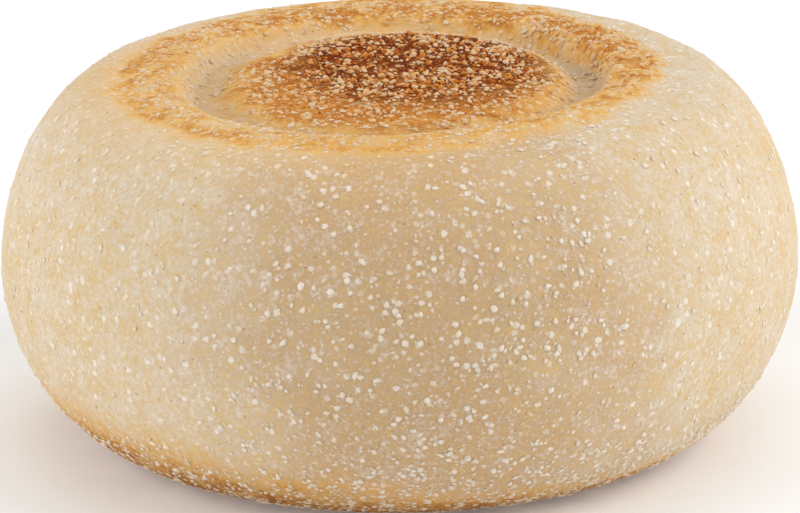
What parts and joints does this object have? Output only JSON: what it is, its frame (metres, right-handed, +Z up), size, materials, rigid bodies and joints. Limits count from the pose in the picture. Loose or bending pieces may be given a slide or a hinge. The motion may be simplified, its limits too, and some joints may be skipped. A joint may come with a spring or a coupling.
{
  "type": "english muffin",
  "caption": "Whole english muffin: a plump round griddled roll with a scorched pad, moat and crest on each flat face and coarse semolina grits all over.",
  "frame": {"origin": "middle of the lower face, on the surface that the muffin rests on", "axes": "+Z up through the middle of the upper face, -Y towards the viewer of the picture, +X to the viewer's right"},
  "size_m": [0.0901, 0.0904, 0.0424],
  "materials": {
    "crust": "pale floury crust, scorched golden to brown where it lay on the griddle"
  },
  "bodies": {
    "root": {"muffin": "crust"}
  },
  "joints": []
}
